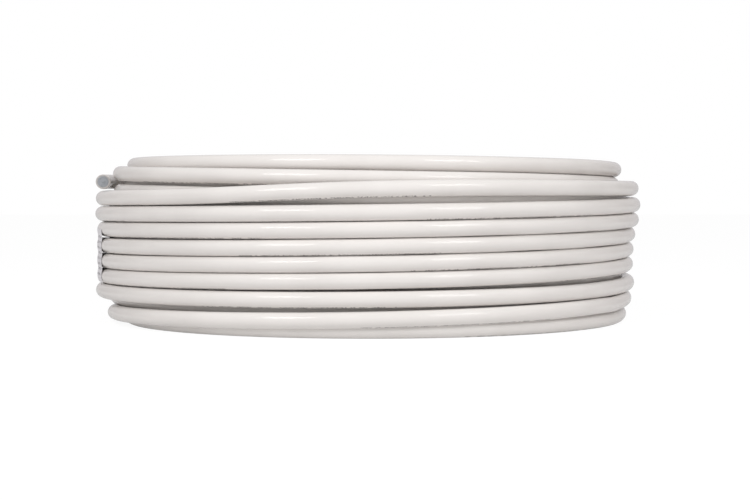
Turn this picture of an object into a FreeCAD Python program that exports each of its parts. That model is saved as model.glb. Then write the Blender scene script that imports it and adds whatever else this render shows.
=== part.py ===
"""A coil of multilayer heating pipe, lying flat: the wound pipe, its end plug and its label.

The coil's axis is +Z, and it rests on Z = 0. Odd layers of turns sit half a pitch above even ones, so
that the layers nest. The outermost layer stops short of the top, and the pipe's free end lies on it.
"""

import FreeCAD
import Part
import math
import os
import Sketcher

SIZES = [
    ("pipe_od", 16.0, "outside diameter of the pipe"),
    ("pipe_wall", 2.0, "wall of the pipe"),
    ("bore_radius", 192.0, "radius of the eye, at the crests of the innermost turns"),
    ("layer_count", 7, "layers of turns, an odd number"),
    ("row_count", 10, "turns in a full layer"),
    ("outer_rows", 8, "full turns in the outermost layer, at least one short of a full layer"),
    ("turn_gap", 0.6, "gap between neighbouring turns of a layer"),
    ("layer_gap", 0.7, "gap between nested turns of two layers"),
    ("side_groove", 5.5, "depth of the groove between two turns on the coil's side"),
    ("end_groove", 4.0, "how far an end groove's floor lies past the middles of its nearer turns"),
    ("end_azimuth", 188.6, "direction of the free end, in degrees from +X"),
    ("end_arc", 180.0, "arc of the free last turn, in degrees"),
    ("end_loose", 6.0, "arc of the free end that stands clear of the turns, in degrees"),
    ("end_hollow", 12.0, "arc of the free end that is bored out, in degrees"),
    ("plug_clearance", 0.05, "radial clearance of the plug at the pipe's mouth"),
    ("plug_length", 8.0, "length of the plug"),
    ("plug_taper", 0.35, "how much thinner in radius the plug is at its inner end"),
    ("plug_rim", 1.4, "width of the plug's rim around its dish"),
    ("plug_dish", 1.2, "depth of the plug's dish"),
    ("label_length", 100.0, "length of the label around the coil"),
    ("label_height", 56.0, "height of the label"),
    ("label_thickness", 0.3, "thickness of the label"),
    ("label_gap", 0.05, "gap between the label and the turns it spans"),
    ("label_row", 3.3, "middle of the label, in turns above the lowest outer turn"),
    ("label_azimuth", 188.4, "direction of the label's middle, in degrees from +X"),
]

doc = FreeCAD.newDocument("pipe_coil")
sizes = doc.addObject("Spreadsheet::Sheet", "Sizes")
for row, (alias, value, note) in enumerate(SIZES, start=1):
    sizes.set(f"A{row}", note)
    sizes.set(f"B{row}", str(value))
    sizes.setAlias(f"B{row}", alias)
doc.recompute()


def evaluate(expression):
    """The number that an expression of the sheet's cells comes to."""
    return float(sizes.evalExpression(expression))


pipe_radius = "Sizes.pipe_od / 2"
pitch = "(Sizes.pipe_od + Sizes.turn_gap)"
layer_step = f"sqrt((Sizes.pipe_od + Sizes.layer_gap) ^ 2 - {pitch} ^ 2 / 4)"
layers = int(evaluate("Sizes.layer_count"))
rows = int(evaluate("Sizes.row_count"))
outer_rows = int(evaluate("Sizes.outer_rows"))


def middle_radius(layer):
    """Expression for the radius from the axis to the middles of a layer's turns."""
    return f"Sizes.bore_radius + {pipe_radius} + {layer - 1} * {layer_step}"


def middle_height(layer, row):
    """Expression for the height of a turn's middle, where row 0 is its layer's lowest."""
    return f"{pipe_radius} + {2 * row + layer % 2} * {pitch} / 2"


def groove_radius(layer):
    """Expression for the radius at the floors of the grooves in a layer's outer side."""
    return f"{middle_radius(layer)} + {pipe_radius} - Sizes.side_groove"


def origin_feature(body, role):
    """A plane or an axis of a body's own origin."""
    return next(f for f in body.Origin.OriginFeatures if f.Role == role)


def new_body(name):
    """An empty body whose label names its file."""
    body = doc.addObject("PartDesign::Body", name)
    body.Label = name
    return body


def new_sketch(body, name):
    """A sketch on the body's XZ plane: its x is a radius from the Z axis and its y a height."""
    sketch = body.newObject("Sketcher::SketchObject", name)
    sketch.AttachmentSupport = (origin_feature(body, "XZ_Plane"), [""])
    sketch.MapMode = "FlatFace"
    return sketch


def constrain(sketch, *terms, size=None):
    """Add a constraint, bound to an expression if it has a size."""
    if size is None:
        sketch.addConstraint(Sketcher.Constraint(*terms))
        return
    index = sketch.addConstraint(Sketcher.Constraint(*terms, evaluate(size)))
    sketch.setExpression(f"Constraints[{index}]", size)


def pin_point(sketch, geometry, end, x=None, y=None):
    """Bind a point's distance from the sketch's origin along x, along y or along both."""
    if x is not None:
        constrain(sketch, "DistanceX", -1, 1, geometry, end, size=x)
    if y is not None:
        constrain(sketch, "DistanceY", -1, 1, geometry, end, size=y)


def add_line(sketch, start, end):
    """A straight edge between two points."""
    return sketch.addGeometry(Part.LineSegment(start, end))


def add_arc(sketch, centre, radius, angles):
    """An arc about a centre, counter-clockwise from one angle to the other, in degrees."""
    circle = Part.Circle(centre, FreeCAD.Vector(0, 0, 1), radius)
    start, end = (math.radians(angle) for angle in angles)
    return sketch.addGeometry(Part.ArcOfCircle(circle, start, end))


def add_polygon(sketch, corners):
    """A closed outline of straight edges, with each corner bound to expressions for its x and y."""
    points = [FreeCAD.Vector(evaluate(x), evaluate(y), 0) for x, y in corners]
    edges = [add_line(sketch, points[i - 1], points[i]) for i in range(len(points))]
    for i, (x, y) in enumerate(corners):
        pin_point(sketch, edges[i], 2, x, y)
        constrain(sketch, "Coincident", edges[i], 2, edges[(i + 1) % len(edges)], 1)


def revolve(body, sketch, angle, cuts=False, backwards=False):
    """Turn a sketch about the body's Z axis, to add or to cut, through an expression's degrees."""
    kind = "PartDesign::Groove" if cuts else "PartDesign::Revolution"
    feature = body.newObject(kind, f"{sketch.Name}_turned")
    feature.Profile = sketch
    feature.ReferenceAxis = (origin_feature(body, "Z_Axis"), [""])
    feature.Reversed = backwards
    feature.setExpression("Angle", angle)
    doc.recompute()
    return feature


def turn_about_z(body, degrees):
    """Turn a body about Z by an expression's degrees."""
    body.Placement.Rotation = FreeCAD.Rotation(FreeCAD.Vector(0, 0, 1), 1)
    body.setExpression("Placement.Rotation.Angle", degrees)


def wound_turns():
    """The turns that show round the coil's section, counter-clockwise from the lowest inner one.

    Each is ((layer, row), groove): the groove after it is on the coil's underside ("below"), on one of
    its outer sides ("side") or on an upward face ("above"), with its floor's level as an expression.
    """
    below = ("below", f"{middle_height(1, 0)} - Sizes.end_groove")
    outer = ("side", groove_radius(layers))
    shelf = ("above", f"{middle_height(layers, outer_rows - 1)} + Sizes.end_groove")
    inner = ("side", groove_radius(layers - 1))
    above = ("above", f"{middle_height(2, rows - 1)} + Sizes.end_groove")
    turns = [((layer, 0), below) for layer in range(1, layers)]
    turns += [((layers, row), outer) for row in range(outer_rows - 1)]
    turns += [((layers, outer_rows - 1), shelf)]
    turns += [((layers - 1, row), inner) for row in range(outer_rows, rows - 1)]
    turns += [((layers - 1, rows - 1), above)]
    turns += [((layer, rows - 1), above) for layer in range(layers - 2, 0, -1)]
    return turns


def floor_angle(centre, radius, groove):
    """The angle, up to 90 degrees either way, at which a turn's circle meets a groove's floor."""
    side, level = groove
    if side == "side":
        return math.degrees(math.acos((evaluate(level) - centre.x) / radius))
    return math.degrees(math.asin((evaluate(level) - centre.y) / radius))


def arc_angles(centre, radius, before, after):
    """Where the outline joins a turn's circle and leaves it, in degrees: at 180 it is the bore."""
    start, end = 180, 180
    if before:
        angle = floor_angle(centre, radius, before)
        start = {"below": 180 - angle, "side": -angle, "above": angle}[before[0]]
    if after:
        angle = floor_angle(centre, radius, after)
        end = {"below": angle, "side": angle, "above": 180 - angle}[after[0]]
    return start, end if end > start else end + 360


def draw_wound_section(sketch):
    """The coil's whole section: an arc for each turn that shows, joined by the floors of the grooves."""
    turns = wound_turns()
    radius = evaluate(pipe_radius)
    groove = None
    arcs = []
    for (layer, row), next_groove in turns:
        x, y = middle_radius(layer), middle_height(layer, row)
        centre = FreeCAD.Vector(evaluate(x), evaluate(y), 0)
        after = None if (layer, row) == turns[-1][0] else next_groove
        arc = add_arc(sketch, centre, radius, arc_angles(centre, radius, groove, after))
        pin_point(sketch, arc, 3, x, y)
        if arcs:
            constrain(sketch, "Equal", arcs[0], arc)
            floor = add_line(sketch, sketch.getPoint(arcs[-1], 2), sketch.getPoint(arc, 1))
            constrain(sketch, "Coincident", arcs[-1], 2, floor, 1)
            constrain(sketch, "Coincident", floor, 2, arc, 1)
            if groove[0] == "side":
                constrain(sketch, "Vertical", floor)
                pin_point(sketch, floor, 1, x=groove[1])
            else:
                constrain(sketch, "Horizontal", floor)
                pin_point(sketch, floor, 1, y=groove[1])
        else:
            constrain(sketch, "Radius", arc, size=pipe_radius)
        arcs.append(arc)
        groove = after
    bore = add_line(sketch, sketch.getPoint(arcs[-1], 2), sketch.getPoint(arcs[0], 1))
    constrain(sketch, "Tangent", arcs[-1], 2, bore, 1)
    constrain(sketch, "Tangent", bore, 2, arcs[0], 1)


def draw_circle(sketch, x, y, radius):
    """A circle bound to expressions for its middle and its radius."""
    centre = FreeCAD.Vector(evaluate(x), evaluate(y), 0)
    circle = sketch.addGeometry(Part.Circle(centre, FreeCAD.Vector(0, 0, 1), evaluate(radius)))
    pin_point(sketch, circle, 3, x, y)
    constrain(sketch, "Radius", circle, size=radius)


end_radius = middle_radius(layers)
end_height = middle_height(layers, outer_rows)
hollow_radius = f"{pipe_radius} - Sizes.pipe_wall"


def make_pipe_coil():
    """The wound pipe as one turned solid, with its free last turn and that turn's hollow end."""
    body = new_body("pipe_coil")
    section = new_sketch(body, "wound_section")
    draw_wound_section(section)
    revolve(body, section, "360")

    web = new_sketch(body, "web_section")
    inside = middle_radius(layers - 1)
    outside = groove_radius(layers)
    bottom = middle_height(layers, outer_rows - 1)
    top = f"{end_height} + Sizes.end_groove"
    add_polygon(web, [(inside, bottom), (outside, bottom), (outside, top), (inside, top)])
    web.AttachmentOffset = FreeCAD.Placement(
        FreeCAD.Vector(0, 0, 0), FreeCAD.Rotation(FreeCAD.Vector(0, 1, 0), -1)
    )
    web.setExpression("AttachmentOffset.Rotation.Angle", "-Sizes.end_loose")
    revolve(body, web, "Sizes.end_arc - Sizes.end_loose", backwards=True)

    last_turn = new_sketch(body, "last_turn_section")
    draw_circle(last_turn, end_radius, end_height, pipe_radius)
    revolve(body, last_turn, "Sizes.end_arc", backwards=True)

    hollow = new_sketch(body, "hollow_section")
    draw_circle(hollow, end_radius, end_height, hollow_radius)
    revolve(body, hollow, "Sizes.end_hollow", cuts=True, backwards=True)
    turn_about_z(body, "Sizes.end_azimuth")
    return body


def make_end_plug():
    """The tapered plug in the free end, flush with the cut and dished, drawn about its own Z axis."""
    body = new_body("end_plug")
    section = new_sketch(body, "plug_section")
    mouth = f"{hollow_radius} - Sizes.plug_clearance"
    tip = f"{mouth} - Sizes.plug_taper"
    dish = f"{mouth} - Sizes.plug_rim"
    corners = [("0", "-Sizes.plug_length"), (tip, "-Sizes.plug_length"), (mouth, "0"), (dish, "0")]
    corners += [(f"{dish} - Sizes.plug_dish / 2", "-Sizes.plug_dish"), ("0", "-Sizes.plug_dish")]
    add_polygon(section, corners)
    revolve(body, section, "360")
    x = f"({end_radius}) * cos(Sizes.end_azimuth)"
    y = f"({end_radius}) * sin(Sizes.end_azimuth)"
    mouth_middle = f"create(<<vector>>; {x}; {y}; {end_height})"
    outwards = "create(<<rotation>>; Sizes.end_azimuth; 0; -90)"
    body.setExpression("Placement", f"create(<<placement>>; {mouth_middle}; {outwards})")
    return body


def make_label():
    """The label, stuck on the crests of the turns it spans."""
    body = new_body("label")
    section = new_sketch(body, "label_section")
    back = f"{middle_radius(layers)} + {pipe_radius} + Sizes.label_gap"
    front = f"{back} + Sizes.label_thickness"
    middle = f"{middle_height(layers, 0)} + Sizes.label_row * {pitch}"
    bottom = f"{middle} - Sizes.label_height / 2"
    top = f"{middle} + Sizes.label_height / 2"
    add_polygon(section, [(back, bottom), (front, bottom), (front, top), (back, top)])
    arc = f"Sizes.label_length / ({front}) * 180 / pi"
    revolve(body, section, arc)
    turn_about_z(body, f"Sizes.label_azimuth - {arc} / 2")
    return body


bodies = [make_pipe_coil(), make_end_plug(), make_label()]
doc.recompute()
for feature in doc.Objects:
    if "Invalid" in feature.State or "Error" in feature.State:
        raise RuntimeError(f"{feature.Label} failed: {feature.State}")
for body in bodies:
    if body.Shape.isNull() or not body.Shape.isValid() or len(body.Shape.Solids) != 1:
        raise RuntimeError(f"{body.Label} is not one valid solid")

os.makedirs("parts", exist_ok=True)
for body in bodies:
    body.Shape.exportStep(f"parts/{body.Label}.step")
    print(f"{body.Label}: {body.Shape.Volume / 1000:.1f} cm3")
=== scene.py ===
import math
import bmesh
import bpy
import numpy as np
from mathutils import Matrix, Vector


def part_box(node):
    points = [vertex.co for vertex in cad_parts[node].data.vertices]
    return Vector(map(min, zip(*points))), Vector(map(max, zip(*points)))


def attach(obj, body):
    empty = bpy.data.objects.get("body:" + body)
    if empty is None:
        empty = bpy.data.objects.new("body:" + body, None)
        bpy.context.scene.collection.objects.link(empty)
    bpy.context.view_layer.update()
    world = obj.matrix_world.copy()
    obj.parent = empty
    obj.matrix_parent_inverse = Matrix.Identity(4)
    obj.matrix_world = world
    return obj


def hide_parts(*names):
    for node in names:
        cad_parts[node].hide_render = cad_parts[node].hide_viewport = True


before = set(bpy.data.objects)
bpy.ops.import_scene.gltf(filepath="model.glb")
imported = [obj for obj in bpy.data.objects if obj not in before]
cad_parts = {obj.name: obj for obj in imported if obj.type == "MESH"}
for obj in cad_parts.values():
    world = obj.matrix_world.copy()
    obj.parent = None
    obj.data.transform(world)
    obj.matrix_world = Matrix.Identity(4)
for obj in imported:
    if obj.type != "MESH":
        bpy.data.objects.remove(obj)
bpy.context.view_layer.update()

# A coil of multilayer pipe lying flat. Angles round the coil are in degrees, counted from the front (-Y),
# anticlockwise from above: -90 is the left side (-X), 90 the right, 180 the back. Lengths are in metres.

mm = 0.001


def onCoil(angle, radius, height):
    turned = math.radians(angle)
    return Vector((radius * math.sin(turned), -radius * math.cos(turned), height))


view = {
    "distance": 1979 * mm,      # from the coil's axis
    "height": 145 * mm,
    "lens": 86.16,
    "sensor": 36,
    "tiltDown": 2.058,          # degrees
    "panRight": 0.271,
}


def makeCamera(cam):
    bpy.ops.object.camera_add(location=(0, -cam["distance"], cam["height"]))
    camera = bpy.context.object
    camera.name = "frontCamera"
    camera.data.sensor_width = cam["sensor"]
    camera.data.lens = cam["lens"]
    camera.rotation_euler = (math.radians(90 - cam["tiltDown"]), 0, math.radians(-cam["panRight"]))
    camera.data.clip_end = 50
    bpy.context.scene.camera = camera
    print("camera placed")


makeCamera(view)


def newGroup(name, inputs, outputs):
    group = bpy.data.node_groups.new(name, "ShaderNodeTree")
    for label, kind, value in inputs:
        socket = group.interface.new_socket(label, in_out="INPUT", socket_type=kind)
        if value is not None:
            socket.default_value = value
    for label, kind in outputs:
        group.interface.new_socket(label, in_out="OUTPUT", socket_type=kind)
    return group, group.nodes.new("NodeGroupInput"), group.nodes.new("NodeGroupOutput")


def addNode(tree, kind, **settings):
    # a node with its settings, and its input sockets by name or number
    node = tree.nodes.new(kind)
    inputs = settings.pop("inputs", {})
    for key, value in settings.items():
        setattr(node, key, value)
    for key, value in inputs.items():
        if isinstance(value, bpy.types.NodeSocket):
            tree.links.new(value, node.inputs[key])
        else:
            node.inputs[key].default_value = value
    return node


def addMath(tree, operation, *values):
    node = tree.nodes.new("ShaderNodeMath")
    node.operation = operation
    for index, value in enumerate(values):
        if isinstance(value, bpy.types.NodeSocket):
            tree.links.new(value, node.inputs[index])
        else:
            node.inputs[index].default_value = value
    return node.outputs[0]


def mixColor(tree, factor, first, second):
    node = addNode(tree, "ShaderNodeMix", data_type="RGBA")
    for index, value in ((0, factor), (6, first), (7, second)):
        if isinstance(value, bpy.types.NodeSocket):
            tree.links.new(value, node.inputs[index])
        else:
            node.inputs[index].default_value = value
    return node.outputs[2]


def makeFineSurface():
    # slight unevenness of moulded or extruded plastic: a changing roughness, a low relief and a haze mask
    group, given, out = newGroup(
        "fineSurface",
        [("Vector", "NodeSocketVector", None), ("Grain", "NodeSocketFloat", 900.0),
         ("Roughness", "NodeSocketFloat", 0.3), ("Change", "NodeSocketFloat", 0.1)],
        [("Roughness", "NodeSocketFloat"), ("Height", "NodeSocketFloat"), ("Haze", "NodeSocketFloat")])
    broad = addNode(group, "ShaderNodeTexNoise",
                    inputs={"Vector": given.outputs["Vector"], "Scale": 14.0, "Detail": 5.0})
    fine = addNode(group, "ShaderNodeTexNoise",
                   inputs={"Vector": given.outputs["Vector"], "Scale": given.outputs["Grain"], "Detail": 2.0})
    swing = addMath(group, "SUBTRACT", broad.outputs[0], 0.5)
    rough = addMath(group, "MULTIPLY_ADD", swing, given.outputs["Change"], given.outputs["Roughness"])
    haze = addNode(group, "ShaderNodeMapRange", inputs={0: broad.outputs[0], 1: 0.42, 2: 0.75})
    group.links.new(rough, out.inputs["Roughness"])
    group.links.new(fine.outputs[0], out.inputs["Height"])
    group.links.new(haze.outputs[0], out.inputs["Haze"])
    return group


def makeInkMarks():
    # a mask of plain unreadable printed marks in rows of a flat map in metres, with gaps like those of words
    group, given, out = newGroup(
        "inkMarks",
        [("Vector", "NodeSocketVector", None), ("Dot", "NodeSocketFloat", 0.0007), ("Letter", "NodeSocketFloat", 0.0028)],
        [("Mask", "NodeSocketFloat")])
    parts = addNode(group, "ShaderNodeSeparateXYZ", inputs={0: given.outputs["Vector"]})
    dotX = addMath(group, "FLOOR", addMath(group, "DIVIDE", parts.outputs[0], given.outputs["Dot"]))
    dotY = addMath(group, "FLOOR", addMath(group, "DIVIDE", parts.outputs[1], given.outputs["Dot"]))
    dots = addNode(group, "ShaderNodeCombineXYZ", inputs={0: dotX, 1: dotY})
    speck = addNode(group, "ShaderNodeTexWhiteNoise", noise_dimensions="3D", inputs={0: dots.outputs[0]})
    column = addMath(group, "FRACT", addMath(group, "DIVIDE", parts.outputs[0], given.outputs["Letter"]))
    letter = addMath(group, "FLOOR", addMath(group, "DIVIDE", parts.outputs[0], given.outputs["Letter"]))
    word = addNode(group, "ShaderNodeTexWhiteNoise", noise_dimensions="1D", inputs={"W": letter})
    inked = addMath(group, "GREATER_THAN", speck.outputs[0], 0.42)
    spaced = addMath(group, "LESS_THAN", column, 0.74)
    spoken = addMath(group, "GREATER_THAN", word.outputs[0], 0.16)
    mask = addMath(group, "MULTIPLY", addMath(group, "MULTIPLY", inked, spaced), spoken)
    group.links.new(mask, out.inputs["Mask"])
    return group


fineSurface = makeFineSurface()
inkMarks = makeInkMarks()


def newMaterial(name):
    material = bpy.data.materials.new(name)
    material.use_nodes = True
    tree = material.node_tree
    return material, tree, tree.nodes["Principled BSDF"]


def between(tree, value, low, high):
    return addMath(tree, "MULTIPLY", addMath(tree, "GREATER_THAN", value, low),
                   addMath(tree, "LESS_THAN", value, high))


pipeFinish = {
    "white": (0.80, 0.765, 0.74, 1),
    "haze": (0.755, 0.72, 0.695, 1),
    "ink": (0.20, 0.19, 0.19, 1),
    "roughness": 0.075,
    "printPeriod": 0.541,       # from one run of print to the next, along the pipe
    "printRun": 0.195,
    "printFrom": 1.436,         # middle of one run, from the free end
    "printLow": 7.9 * mm,       # round the pipe, down from its outermost line
    "printHigh": 10.5 * mm,
}


def pipePlastic():
    f = pipeFinish
    material, tree, shader = newMaterial("pipePlastic")
    place = addNode(tree, "ShaderNodeTexCoord")
    surface = addNode(tree, "ShaderNodeGroup", node_tree=fineSurface)
    tree.links.new(place.outputs["Object"], surface.inputs["Vector"])
    surface.inputs["Grain"].default_value = 700
    surface.inputs["Roughness"].default_value = f["roughness"]
    surface.inputs["Change"].default_value = 0.05
    along = addNode(tree, "ShaderNodeUVMap", uv_map="pipeMap")
    parts = addNode(tree, "ShaderNodeSeparateXYZ", inputs={0: along.outputs[0]})
    phase = addMath(tree, "DIVIDE", addMath(tree, "SUBTRACT", parts.outputs[0], f["printFrom"] - f["printRun"] / 2),
                    f["printPeriod"])
    inRun = addMath(tree, "LESS_THAN", addMath(tree, "FRACT", phase), f["printRun"] / f["printPeriod"])
    inLine = between(tree, parts.outputs[1], f["printLow"], f["printHigh"])
    marks = addNode(tree, "ShaderNodeGroup", node_tree=inkMarks)
    tree.links.new(along.outputs[0], marks.inputs["Vector"])
    ink = addMath(tree, "MULTIPLY", addMath(tree, "MULTIPLY", inRun, inLine), marks.outputs["Mask"])
    streaks = addNode(tree, "ShaderNodeMapping", vector_type="POINT",
                      inputs={"Vector": along.outputs[0], "Scale": (3.0, 900.0, 1.0)})
    drawn = addNode(tree, "ShaderNodeTexNoise",
                    inputs={"Vector": streaks.outputs[0], "Scale": 1.0, "Detail": 3.0})
    body = mixColor(tree, surface.outputs["Haze"], f["white"], f["haze"])
    tree.links.new(mixColor(tree, ink, body, f["ink"]), shader.inputs["Base Color"])
    tree.links.new(surface.outputs["Roughness"], shader.inputs["Roughness"])
    relief = addMath(tree, "MULTIPLY_ADD", drawn.outputs[0], 0.5, surface.outputs["Height"])
    bump = addNode(tree, "ShaderNodeBump", inputs={"Height": relief, "Strength": 0.035, "Distance": 0.1 * mm})
    tree.links.new(bump.outputs[0], shader.inputs["Normal"])
    shader.inputs["IOR"].default_value = 1.5
    shader.inputs["Specular IOR Level"].default_value = 0.22
    return material


def cutFoil():
    material, tree, shader = newMaterial("cutFoil")
    place = addNode(tree, "ShaderNodeTexCoord")
    surface = addNode(tree, "ShaderNodeGroup", node_tree=fineSurface)
    tree.links.new(place.outputs["Object"], surface.inputs["Vector"])
    surface.inputs["Roughness"].default_value = 0.35
    tree.links.new(surface.outputs["Roughness"], shader.inputs["Roughness"])
    shader.inputs["Base Color"].default_value = (0.78, 0.78, 0.79, 1)
    shader.inputs["Metallic"].default_value = 1
    return material


def shadedCutWall():
    material, tree, shader = newMaterial("shadedCutWall")
    place = addNode(tree, "ShaderNodeTexCoord")
    surface = addNode(tree, "ShaderNodeGroup", node_tree=fineSurface)
    tree.links.new(place.outputs["Object"], surface.inputs["Vector"])
    surface.inputs["Grain"].default_value = 3200
    surface.inputs["Roughness"].default_value = 0.55
    tree.links.new(surface.outputs["Roughness"], shader.inputs["Roughness"])
    # painted shade: the cut face of the wall is coloured a darker grey than the pipe's white plastic, standing in
    # for the shade on the pipe's end faces
    color = mixColor(tree, surface.outputs["Haze"], (0.55, 0.52, 0.50, 1), (0.46, 0.44, 0.43, 1))
    tree.links.new(color, shader.inputs["Base Color"])
    bump = addNode(tree, "ShaderNodeBump",
                   inputs={"Height": surface.outputs["Height"], "Strength": 0.4, "Distance": 0.1 * mm})
    tree.links.new(bump.outputs[0], shader.inputs["Normal"])
    return material


coil = {
    "pipeRadius": 8 * mm,
    "wall": 2 * mm,
    "endChamfer": 0.35 * mm,
    "foil": 0.2 * mm,           # the aluminium layer inside the wall, seen at a cut end
    "foilRadius": 6.9 * mm,
    "hollowDepth": 60 * mm,
    "layers": 7,
    "turnsPerLayer": 10,
    "outerTurns": 8,
    "pitch": 16.6 * mm,
    "innerPitch": 16.05 * mm,   # the layers inside are packed tighter, so they end lower
    "innerRadius": 200 * mm,    # middle of the innermost turns
    "layerStep": 14.49 * mm,
    "startAngle": -81.4,
    "samplesPerTurn": 96,
    "hiddenStep": 3,            # turns inside the coil keep every third ring
    "sides": 20,
    "settleSteps": 60,
    "waver": 0.3 * mm,
    "drift": 0.7 * mm,          # the most that settling may move a turn
}

# Places that the turns at the front pass through, off the even winding: turn, angle, radius and height,
# the last two in millimetres.
shownTurns = [
    (49, -81.4, 253, 166.6), (49, 0, 260, 166.7), (49, 81.4, 269.9, 161.4),
    (50, -81.4, 268.5, 157.8), (50, 0, 270, 151.5), (50, 81.4, 268, 147),
    (51, -81.4, 266.7, 139.8), (51, -40, 271, 136), (51, 0, 274, 131.5), (51, 81.4, 276.3, 132),
    (58, -81.4, 273.2, 25.6), (58, -50, 273, 25.4), (58, 0, 272.6, 25), (58, 81.4, 272.5, 24.6),
    (59, -81.4, 257, 8), (59, -50, 276, 8), (59, 0, 284.5, 8), (59, 50, 284, 8), (59, 81.4, 275.5, 8),
    (60, -81.4, 273.3, 10.2), (60, -50, 287, 13), (60, 0, 290, 17.5), (60, 50, 289, 22.2), (60, 81.4, 280.6, 24.2),
    (61, -81.4, 286.9, 32.9), (61, 0, 287.5, 37.1), (61, 50, 286, 38.9), (61, 81.4, 283.8, 40.7),
    (62, -81.4, 285.2, 48.9), (62, 0, 286.5, 55.2), (62, 81.4, 282.4, 61.2),
    (63, -81.4, 285.2, 64.7), (63, 0, 286.5, 71), (63, 81.4, 283, 77.1),
    (64, -81.4, 285.2, 81.4), (64, 0, 286.5, 86.9), (64, 81.4, 285.2, 92.4),
    (65, -81.4, 285, 98.7), (65, 0, 287, 103.2), (65, 81.4, 289.3, 108.6),
    (66, -81.4, 287.4, 114.8), (66, 0, 287.5, 119.5), (66, 81.4, 290.7, 124),
    (67, -81.4, 286.8, 131.3), (67, -34, 286.9, 134.8), (67, 0, 287, 141.2), (67, 81.4, 288.6, 141.8),
]


def windingStations(c):
    # radius and height of the pipe at chosen places along it, keyed by turns from its inner end
    stations = {}
    for turn in range((c["layers"] - 1) * c["turnsPerLayer"]):
        layer, row = divmod(turn, c["turnsPerLayer"])
        rising = layer % 2 == 0
        halves = 2 * row + 1 if rising else 2 * (c["turnsPerLayer"] - 1 - row)
        pitch = c["pitch"] if layer == c["layers"] - 2 else c["innerPitch"]
        height = c["pipeRadius"] + halves * pitch / 2
        stations[float(turn)] = (c["innerRadius"] + layer * c["layerStep"], height)
    for turn, angle, radius, height in shownTurns:
        stations[turn + (angle - c["startAngle"]) / 360] = (radius * mm, height * mm)
    return stations


def windPipe(c, endRadius, endHeight):
    # the pipe's line as arrays: turns from the inner end, radius, height, and how free each place is
    stations = windingStations(c)
    lastTurn = (c["layers"] - 1) * c["turnsPerLayer"] + c["outerTurns"]
    for back in (0.03, 0.0):                               # the free end runs level into its plug
        stations[lastTurn - back] = (endRadius, endHeight)
    keys = np.array(sorted(stations))
    values = np.array([stations[key] for key in keys])
    turns = np.arange(lastTurn * c["samplesPerTurn"] + 1) / c["samplesPerTurn"]
    slopes = np.gradient(values, keys, axis=0)
    slopes[-2:] = 0
    place = np.clip(np.searchsorted(keys, turns, side="right") - 1, 0, len(keys) - 2)
    span = (keys[place + 1] - keys[place])[:, None]
    t = ((turns - keys[place])[:, None]) / span
    line = ((1 + 2 * t) * (1 - t) ** 2 * values[place] + t * (1 - t) ** 2 * span * slopes[place]
            + t ** 2 * (3 - 2 * t) * values[place + 1] + t ** 2 * (t - 1) * span * slopes[place + 1])
    held = ((turns > 48.8) & (turns < 51.6)) | (turns > 57.7)   # the turns that show at the front
    freedom = np.convolve(np.where(held, 0.01, 1.0), np.ones(25) / 25, mode="same")
    freedom[-25:] = 0
    waver = np.sin(turns * 2 * np.pi * 1.37 + 1.1) + np.sin(turns * 2 * np.pi * 2.61 + 0.4)
    line[:, 0] += waver * c["waver"] * np.clip(freedom, 0.2, 1)
    line[-25:, 0] = endRadius
    return turns, line[:, 0], line[:, 1], freedom


def settleTurns(c, radius, height, freedom):
    # push turns that cross apart, as they bed in when wound, with the outermost turns held
    per = c["samplesPerTurn"]
    diameter = 2 * c["pipeRadius"]
    woundRadius, woundHeight, drift = radius, height, c["drift"]
    for step in range(c["settleSteps"]):
        push = np.zeros((len(radius), 2))
        for apart in range(1, 2 * c["turnsPerLayer"] + 2):
            near, far = slice(0, len(radius) - apart * per), slice(apart * per, len(radius))
            delta = np.stack([radius[far] - radius[near], height[far] - height[near]], axis=1)
            gap = np.maximum(np.linalg.norm(delta, axis=1), 1e-6)
            overlap = np.maximum(diameter - gap, 0)
            total = np.maximum(freedom[near] + freedom[far], 1e-6)
            move = delta / gap[:, None] * (0.5 * overlap / total)[:, None]
            push[far] += move * freedom[far][:, None]
            push[near] -= move * freedom[near][:, None]
        kernel = np.ones(9) / 9
        for axis in range(2):
            push[:, axis] = np.convolve(push[:, axis], kernel, mode="same")
        radius = np.clip(radius + push[:, 0], woundRadius - drift, woundRadius + drift)
        height = np.clip(height + push[:, 1], woundHeight - drift, woundHeight + drift)
        height = np.maximum(height, c["pipeRadius"])
    return radius, height


def skinTube(name, rings, sides):
    # a closed skin over rings of (middle, outward, up, radius, distance along), with its own UV map
    vertices = []
    for middle, outward, up, radius, along in rings:
        for side in range(sides):
            angle = 2 * math.pi * side / sides
            vertices.append(middle + (outward * math.cos(angle) + up * math.sin(angle)) * radius)
    faces = []
    for ring in range(len(rings) - 1):
        for side in range(sides):
            a, b = ring * sides + side, ring * sides + (side + 1) % sides
            faces.append((a, b, b + sides, a + sides))
    last = (len(rings) - 1) * sides
    faces.append(tuple(range(sides - 1, -1, -1)))
    faces.append(tuple(range(last, last + sides)))
    mesh = bpy.data.meshes.new(name)
    mesh.from_pydata(vertices, [], faces)
    uv = mesh.uv_layers.new(name="pipeMap")
    circumference = 2 * math.pi * coil["pipeRadius"]
    count = (len(rings) - 1) * sides
    coords = np.zeros((len(mesh.loops), 2), dtype=np.float32)
    alongs = np.array([ring[4] for ring in rings])
    ringOf = np.repeat(np.arange(len(rings) - 1), sides)
    sideOf = np.tile(np.arange(sides), len(rings) - 1)
    for corner, (ringStep, sideStep) in enumerate([(0, 0), (0, 1), (1, 1), (1, 0)]):
        coords[corner:4 * count:4, 0] = alongs[ringOf + ringStep]
        coords[corner:4 * count:4, 1] = (sideOf + sideStep) / sides * circumference
    uv.data.foreach_set("uv", coords.ravel())
    mesh.polygons.foreach_set("use_smooth", [True] * len(mesh.polygons))
    piece = bpy.data.objects.new(name, mesh)
    bpy.context.scene.collection.objects.link(piece)
    return piece


def isShown(turn, c):
    per = c["turnsPerLayer"]
    row = turn % per
    return turn < per + 2 or turn >= 57 or row >= per - 2 or row < 2 or turn == 52


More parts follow.
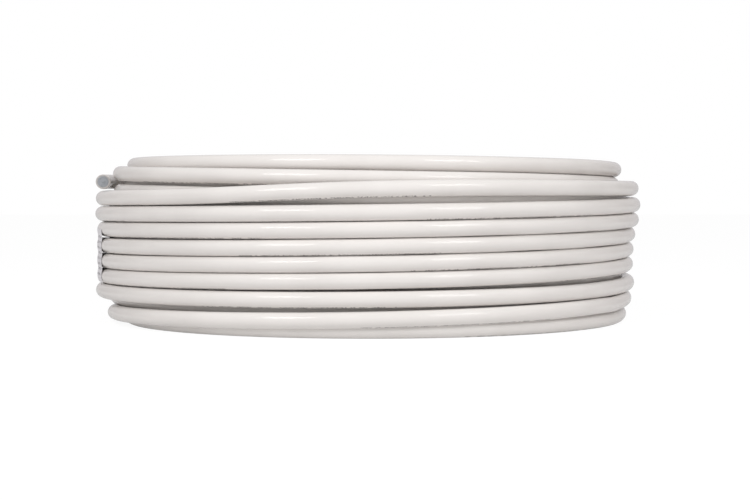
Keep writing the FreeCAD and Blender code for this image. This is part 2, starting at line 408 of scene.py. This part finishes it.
def makeWoundPipe(c):
    plugLow, plugHigh = (Vector(corner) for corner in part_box("end_plug"))
    plugMiddle = (plugLow + plugHigh) / 2
    endRadius = c["innerRadius"] + (c["layers"] - 1) * c["layerStep"]
    turns, radius, height, freedom = windPipe(c, endRadius, plugMiddle.z)
    radius, height = settleTurns(c, radius, height, freedom)
    angles = np.radians(c["startAngle"] + 360 * turns)
    points = np.stack([radius * np.sin(angles), -radius * np.cos(angles), height], axis=1)
    steps = np.linalg.norm(np.diff(points, axis=0), axis=1)
    fromEnd = np.concatenate([np.cumsum(steps[::-1])[::-1], [0.0]])
    tangents = np.gradient(points, axis=0)
    tangents /= np.linalg.norm(tangents, axis=1)[:, None]
    rings = []

    def ringAt(index, size, shift=0.0):
        tangent = Vector(tangents[index])
        middle = Vector(points[index]) + tangent * shift
        outward = Vector((math.sin(angles[index]), -math.cos(angles[index]), 0))
        outward = (outward - tangent * outward.dot(tangent)).normalized()
        up = outward.cross(tangent) * -1
        rings.append((middle, outward, up, size, float(fromEnd[index]) - shift))

    bore = c["pipeRadius"] - c["wall"]
    samples = len(turns)
    hollowSamples = round(c["hollowDepth"] / steps.mean())
    for index in range(hollowSamples, -1, -1):
        ringAt(index, bore)
    ringAt(0, c["foilRadius"])
    foilBands = [len(rings) - 1]
    ringAt(0, c["foilRadius"] + c["foil"])
    ringAt(0, c["pipeRadius"] - c["endChamfer"])
    ringAt(0, c["pipeRadius"] - c["endChamfer"] / 3, c["endChamfer"] / 3)
    ringAt(0, c["pipeRadius"], c["endChamfer"])
    for index in range(1, samples - 1):
        if isShown(int(turns[index]), c) or index % c["hiddenStep"] == 0:
            ringAt(index, c["pipeRadius"])
    last = samples - 1
    ringAt(last, c["pipeRadius"], -c["endChamfer"])
    ringAt(last, c["pipeRadius"] - c["endChamfer"] / 3, -c["endChamfer"] / 3)
    ringAt(last, c["pipeRadius"] - c["endChamfer"])
    ringAt(last, c["foilRadius"] + c["foil"])
    foilBands.append(len(rings) - 1)
    ringAt(last, c["foilRadius"])
    for index in range(last, last - hollowSamples - 1, -1):
        ringAt(index, bore)
    piece = skinTube("woundPipe", rings, c["sides"])
    piece.data.materials.append(pipePlastic())
    piece.data.materials.append(cutFoil())
    # the third finish is the cut wall, whose darker grey is painted shade on the end faces
    piece.data.materials.append(shadedCutWall())
    for band in foilBands:
        for beside, finish in ((-1, 2), (0, 1), (1, 2)):
            first = (band + beside) * c["sides"]
            for face in piece.data.polygons[first:first + c["sides"]]:
                face.material_index = finish
    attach(piece, "root")
    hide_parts("pipe_coil")
    print("pipe wound:", round(float(fromEnd[0]), 1), "m,", len(piece.data.polygons) * 2, "triangles")
    return (turns, radius, height)


pipeLine = makeWoundPipe(coil)


plug = {
    "radius": 5.95 * mm,
    "tipRadius": 5.6 * mm,
    "length": 8 * mm,
    "rim": 1.2 * mm,
    "dish": 0.6 * mm,
    "gate": 1.1 * mm,           # radius of the moulding's gate mark
    "gateHeight": 0.35 * mm,
    "edge": 0.25 * mm,
    "sides": 64,
}


def selectFaces(mesh, test):
    # in edit mode, select only the faces that pass a test of their middle and normal
    edit = bmesh.from_edit_mesh(mesh)
    bpy.ops.mesh.select_all(action="DESELECT")
    for face in edit.faces:
        face.select_set(test(face.calc_center_median(), face.normal))
    bmesh.update_edit_mesh(mesh)


def plugPlastic():
    material, tree, shader = newMaterial("plugPlastic")
    place = addNode(tree, "ShaderNodeTexCoord")
    surface = addNode(tree, "ShaderNodeGroup", node_tree=fineSurface)
    tree.links.new(place.outputs["Object"], surface.inputs["Vector"])
    surface.inputs["Grain"].default_value = 2600
    surface.inputs["Roughness"].default_value = 0.34
    surface.inputs["Change"].default_value = 0.2
    color = mixColor(tree, surface.outputs["Haze"], (0.33, 0.35, 0.38, 1), (0.38, 0.395, 0.42, 1))
    tree.links.new(color, shader.inputs["Base Color"])
    tree.links.new(surface.outputs["Roughness"], shader.inputs["Roughness"])
    bump = addNode(tree, "ShaderNodeBump",
                   inputs={"Height": surface.outputs["Height"], "Strength": 0.15, "Distance": 0.1 * mm})
    tree.links.new(bump.outputs[0], shader.inputs["Normal"])
    return material


def makeEndPlug(p, line):
    turns, radius, height = line
    angle = coil["startAngle"] + 360 * turns[-1]
    mouth = onCoil(angle, radius[-1], height[-1])
    outwards = (onCoil(angle + 90, 1, 0)).normalized()
    bpy.ops.object.select_all(action="DESELECT")
    bpy.ops.mesh.primitive_cylinder_add(vertices=p["sides"], radius=p["radius"], depth=p["length"],
                                        location=(0, 0, -p["length"] / 2))
    piece = bpy.context.object
    piece.name = "endPlug"
    bpy.ops.object.transform_apply(location=True, rotation=False, scale=False)
    bpy.ops.object.mode_set(mode="EDIT")
    bpy.ops.mesh.select_mode(type="FACE")
    selectFaces(piece.data, lambda middle, normal: normal.z < -0.9)
    taper = p["tipRadius"] / p["radius"]
    bpy.ops.transform.resize(value=(taper, taper, 1))
    selectFaces(piece.data, lambda middle, normal: normal.z > 0.9)
    bpy.ops.mesh.inset(thickness=p["rim"])
    bpy.ops.mesh.extrude_region_move(TRANSFORM_OT_translate={"value": (0, 0, -p["dish"] * 0.7)})
    bpy.ops.mesh.inset(thickness=p["rim"] * 0.6, depth=-p["dish"] * 0.3)
    bpy.ops.mesh.inset(thickness=p["radius"] - 1.6 * p["rim"] - p["gate"])
    bpy.ops.mesh.extrude_region_move(TRANSFORM_OT_translate={"value": (0, 0, p["gateHeight"])})
    bpy.ops.object.mode_set(mode="OBJECT")
    bevel = piece.modifiers.new("edges", "BEVEL")
    bevel.width = p["edge"]
    bevel.segments = 3
    bevel.limit_method = "ANGLE"
    bevel.angle_limit = math.radians(25)
    bpy.ops.object.modifier_apply(modifier="edges")
    piece.rotation_mode = "QUATERNION"
    piece.rotation_quaternion = outwards.to_track_quat("Z", "Y")
    piece.location = mouth
    bpy.ops.object.transform_apply(location=True, rotation=True, scale=True)
    bpy.ops.object.shade_smooth_by_angle(angle=math.radians(35))
    piece.data.materials.append(plugPlastic())
    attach(piece, "root")
    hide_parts("end_plug")
    print("end plug made")


makeEndPlug(plug, pipeLine)


label = {
    "frontAngle": -71.8,
    "length": 100 * mm,
    "bottom": 43.1 * mm,
    "top": 99.1 * mm,
    "columns": 60,
    "rows": 84,
    "firstTurn": 61,
    "lastTurn": 67,
    "lift": 0.12 * mm,          # middle of the film over the pipe's crests
    "thickness": 0.16 * mm,
    "sag": 0.3,                 # how far the film follows the grooves, from 0 to 1
}


def labelPaper():
    material, tree, shader = newMaterial("labelPaper")
    place = addNode(tree, "ShaderNodeTexCoord")
    surface = addNode(tree, "ShaderNodeGroup", node_tree=fineSurface)
    tree.links.new(place.outputs["Object"], surface.inputs["Vector"])
    surface.inputs["Grain"].default_value = 1800
    surface.inputs["Roughness"].default_value = 0.42
    surface.inputs["Change"].default_value = 0.12
    flat = addNode(tree, "ShaderNodeUVMap", uv_map="labelMap")
    parts = addNode(tree, "ShaderNodeSeparateXYZ", inputs={0: flat.outputs[0]})
    marks = addNode(tree, "ShaderNodeGroup", node_tree=inkMarks)
    tree.links.new(flat.outputs[0], marks.inputs["Vector"])
    marks.inputs["Dot"].default_value = 0.0006
    marks.inputs["Letter"].default_value = 0.0024
    line = addMath(tree, "FRACT", addMath(tree, "DIVIDE", parts.outputs[1], 0.0056))
    inLine = between(tree, line, 0.28, 0.74)
    inside = addMath(tree, "MULTIPLY", between(tree, parts.outputs[0], 0.003, 0.094),
                     between(tree, parts.outputs[1], 0.004, 0.052))
    ink = addMath(tree, "MULTIPLY", addMath(tree, "MULTIPLY", inLine, inside), marks.outputs["Mask"])
    paper = mixColor(tree, surface.outputs["Haze"], (0.80, 0.775, 0.80, 1), (0.76, 0.735, 0.76, 1))
    tree.links.new(mixColor(tree, ink, paper, (0.06, 0.06, 0.07, 1)), shader.inputs["Base Color"])
    tree.links.new(surface.outputs["Roughness"], shader.inputs["Roughness"])
    bump = addNode(tree, "ShaderNodeBump",
                   inputs={"Height": surface.outputs["Height"], "Strength": 0.1, "Distance": 0.1 * mm})
    tree.links.new(bump.outputs[0], shader.inputs["Normal"])
    return material


def filmLine(heights, rowHeights, rowRadii, l):
    # the film's radius at each height: taut over the crests, sagging a little into the grooves
    pipe = coil["pipeRadius"]
    depth = np.clip(pipe ** 2 - (heights[:, None] - rowHeights[None, :]) ** 2, 0, None)
    under = np.where(depth > 0, rowRadii[None, :] + np.sqrt(depth), 0).max(axis=1)
    under = np.maximum(under, rowRadii.min() + pipe * 0.2)
    taut = np.full(len(heights), under.max())
    for step in range(1500):
        taut[1:-1] = np.maximum(under[1:-1], (taut[:-2] + taut[2:]) / 2)
        taut[0] = max(under[0], taut[1] - 0.1 * mm)
        taut[-1] = max(under[-1], taut[-2] - 0.1 * mm)
    drop = np.minimum((taut - under) * l["sag"], 0.9 * mm)
    return taut - drop + l["lift"]


def makeLabel(l, line):
    turns, radius, height = line
    outside = coil["innerRadius"] + (coil["layers"] - 1) * coil["layerStep"] + coil["pipeRadius"]
    arc = math.degrees(l["length"] / outside)
    heights = np.linspace(l["bottom"], l["top"], l["rows"])
    vertices = []
    for column in range(l["columns"]):
        angle = l["frontAngle"] - arc * column / (l["columns"] - 1)
        atTurn = np.arange(l["firstTurn"], l["lastTurn"]) + ((angle - coil["startAngle"]) / 360)
        rowRadii = np.interp(atTurn, turns, radius)
        rowHeights = np.interp(atTurn, turns, height)
        film = filmLine(heights, rowHeights, rowRadii, l)
        vertices += [onCoil(angle, float(r), float(z)) for r, z in zip(film, heights)]
    rows = l["rows"]
    faces = [(c * rows + r, (c + 1) * rows + r, (c + 1) * rows + r + 1, c * rows + r + 1)
             for c in range(l["columns"] - 1) for r in range(rows - 1)]
    mesh = bpy.data.meshes.new("label")
    mesh.from_pydata(vertices, [], faces)
    uv = mesh.uv_layers.new(name="labelMap")
    for loop in mesh.loops:
        column, row = divmod(loop.vertex_index, rows)
        uv.data[loop.index].uv = (column / (l["columns"] - 1) * l["length"], heights[row] - l["bottom"])
    piece = bpy.data.objects.new("coilLabel", mesh)
    bpy.context.scene.collection.objects.link(piece)
    bpy.ops.object.select_all(action="DESELECT")
    piece.select_set(True)
    bpy.context.view_layer.objects.active = piece
    bpy.ops.object.mode_set(mode="EDIT")
    bpy.ops.mesh.select_all(action="SELECT")
    bpy.ops.mesh.normals_make_consistent(inside=False)
    bpy.ops.object.mode_set(mode="OBJECT")
    film = piece.modifiers.new("film", "SOLIDIFY")
    film.thickness = l["thickness"]
    film.offset = 0
    bpy.ops.object.modifier_apply(modifier="film")
    bpy.ops.object.shade_smooth_by_angle(angle=math.radians(40))
    piece.data.materials.append(labelPaper())
    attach(piece, "root")
    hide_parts("label")
    print("label laid:", len(piece.data.polygons), "faces")


makeLabel(label, pipeLine)


studio = {
    "floorSize": 14,
    "floorShade": (0.74, 0.74, 0.74, 1),
    "floorGlow": 0.2,           # share of light the floor sends up under the coil
    "floorWhite": 0.86,         # how much of the floor's own shadow the white hides
    "whiteness": 1.08,
    "walls": [                  # the studio's walls from in front (0) to behind (1)
        (0.0, (0.60, 0.60, 0.60)),
        (0.25, (0.52, 0.52, 0.52)),
        (0.45, (0.22, 0.205, 0.21)),
        (0.85, (0.16, 0.14, 0.15)),
        (0.95, (0.56, 0.54, 0.55)),
        (1.0, (0.6, 0.58, 0.59)),
    ],
    "ceiling": (0.58, 0.58, 0.58),
}


def makeFloor(s):
    bpy.ops.object.select_all(action="DESELECT")
    bpy.ops.mesh.primitive_plane_add(size=s["floorSize"], location=(0, 0, 0))
    floor = bpy.context.object
    floor.name = "floor"
    material, tree, shader = newMaterial("paleFloor")
    shader.inputs["Base Color"].default_value = s["floorShade"]
    shader.inputs["Roughness"].default_value = 0.9
    path = addNode(tree, "ShaderNodeLightPath")
    white = addNode(tree, "ShaderNodeEmission", inputs={"Color": (1, 1, 1, 1), "Strength": s["whiteness"]})
    share = addMath(tree, "MULTIPLY_ADD", path.outputs["Is Camera Ray"],
                    s["floorWhite"] - s["floorGlow"], s["floorGlow"])
    mixed = addNode(tree, "ShaderNodeMixShader", inputs={0: share, 1: shader.outputs[0], 2: white.outputs[0]})
    output = next(node for node in tree.nodes if node.type == "OUTPUT_MATERIAL")
    tree.links.new(mixed.outputs[0], output.inputs["Surface"])
    floor.data.materials.append(material)


def makeWorld(s):
    world = bpy.data.worlds.new("studio")
    bpy.context.scene.world = world
    world.use_nodes = True
    tree = world.node_tree
    background = tree.nodes["Background"]
    place = addNode(tree, "ShaderNodeTexCoord")
    parts = addNode(tree, "ShaderNodeSeparateXYZ", inputs={0: place.outputs["Generated"]})
    flat = addMath(tree, "SQRT", addMath(tree, "SUBTRACT", 1.0001,
                                         addMath(tree, "MULTIPLY", parts.outputs[2], parts.outputs[2])))
    facing = addMath(tree, "MULTIPLY_ADD", addMath(tree, "DIVIDE", parts.outputs[1], flat), 0.5, 0.5)
    walls = addNode(tree, "ShaderNodeValToRGB", inputs={0: facing})
    stops = walls.color_ramp.elements
    while len(stops) < len(s["walls"]):
        stops.new(0.5)
    for stop, (position, shade) in zip(stops, s["walls"]):
        stop.position, stop.color = position, (*shade, 1)
    rise = addNode(tree, "ShaderNodeMapRange", inputs={0: parts.outputs[2], 1: 0.35, 2: 0.8})
    around = mixColor(tree, rise.outputs[0], walls.outputs[0], (*s["ceiling"], 1))
    path = addNode(tree, "ShaderNodeLightPath")
    tree.links.new(mixColor(tree, path.outputs["Is Camera Ray"], around, (1, 1, 1, 1)), background.inputs["Color"])
    background.inputs["Strength"].default_value = 1.0


lamps = [
    {"name": "leftSoftbox", "azimuth": -36, "rise": 38, "distance": 2.6, "size": (0.9, 0.85), "power": 21.5},
    {"name": "rightSoftbox", "azimuth": 39, "rise": 38, "distance": 2.6, "size": (0.9, 0.85), "power": 19.5},
]


def makeLamps():
    aim = Vector((0, 0, 90 * mm))
    for lamp in lamps:
        rise = math.radians(lamp["rise"])
        flat = onCoil(lamp["azimuth"], math.cos(rise), math.sin(rise))
        place = aim + flat * lamp["distance"]
        bpy.ops.object.light_add(type="AREA", location=place)
        light = bpy.context.object
        light.name = lamp["name"]
        light.data.shape = "RECTANGLE"
        light.data.size, light.data.size_y = lamp["size"]
        light.data.energy = lamp["power"]
        light.rotation_euler = (aim - place).to_track_quat("-Z", "Y").to_euler()
    print("lamps placed:", len(lamps))


makeFloor(studio)
makeWorld(studio)
makeLamps()
bpy.context.scene.view_settings.view_transform = "Standard"
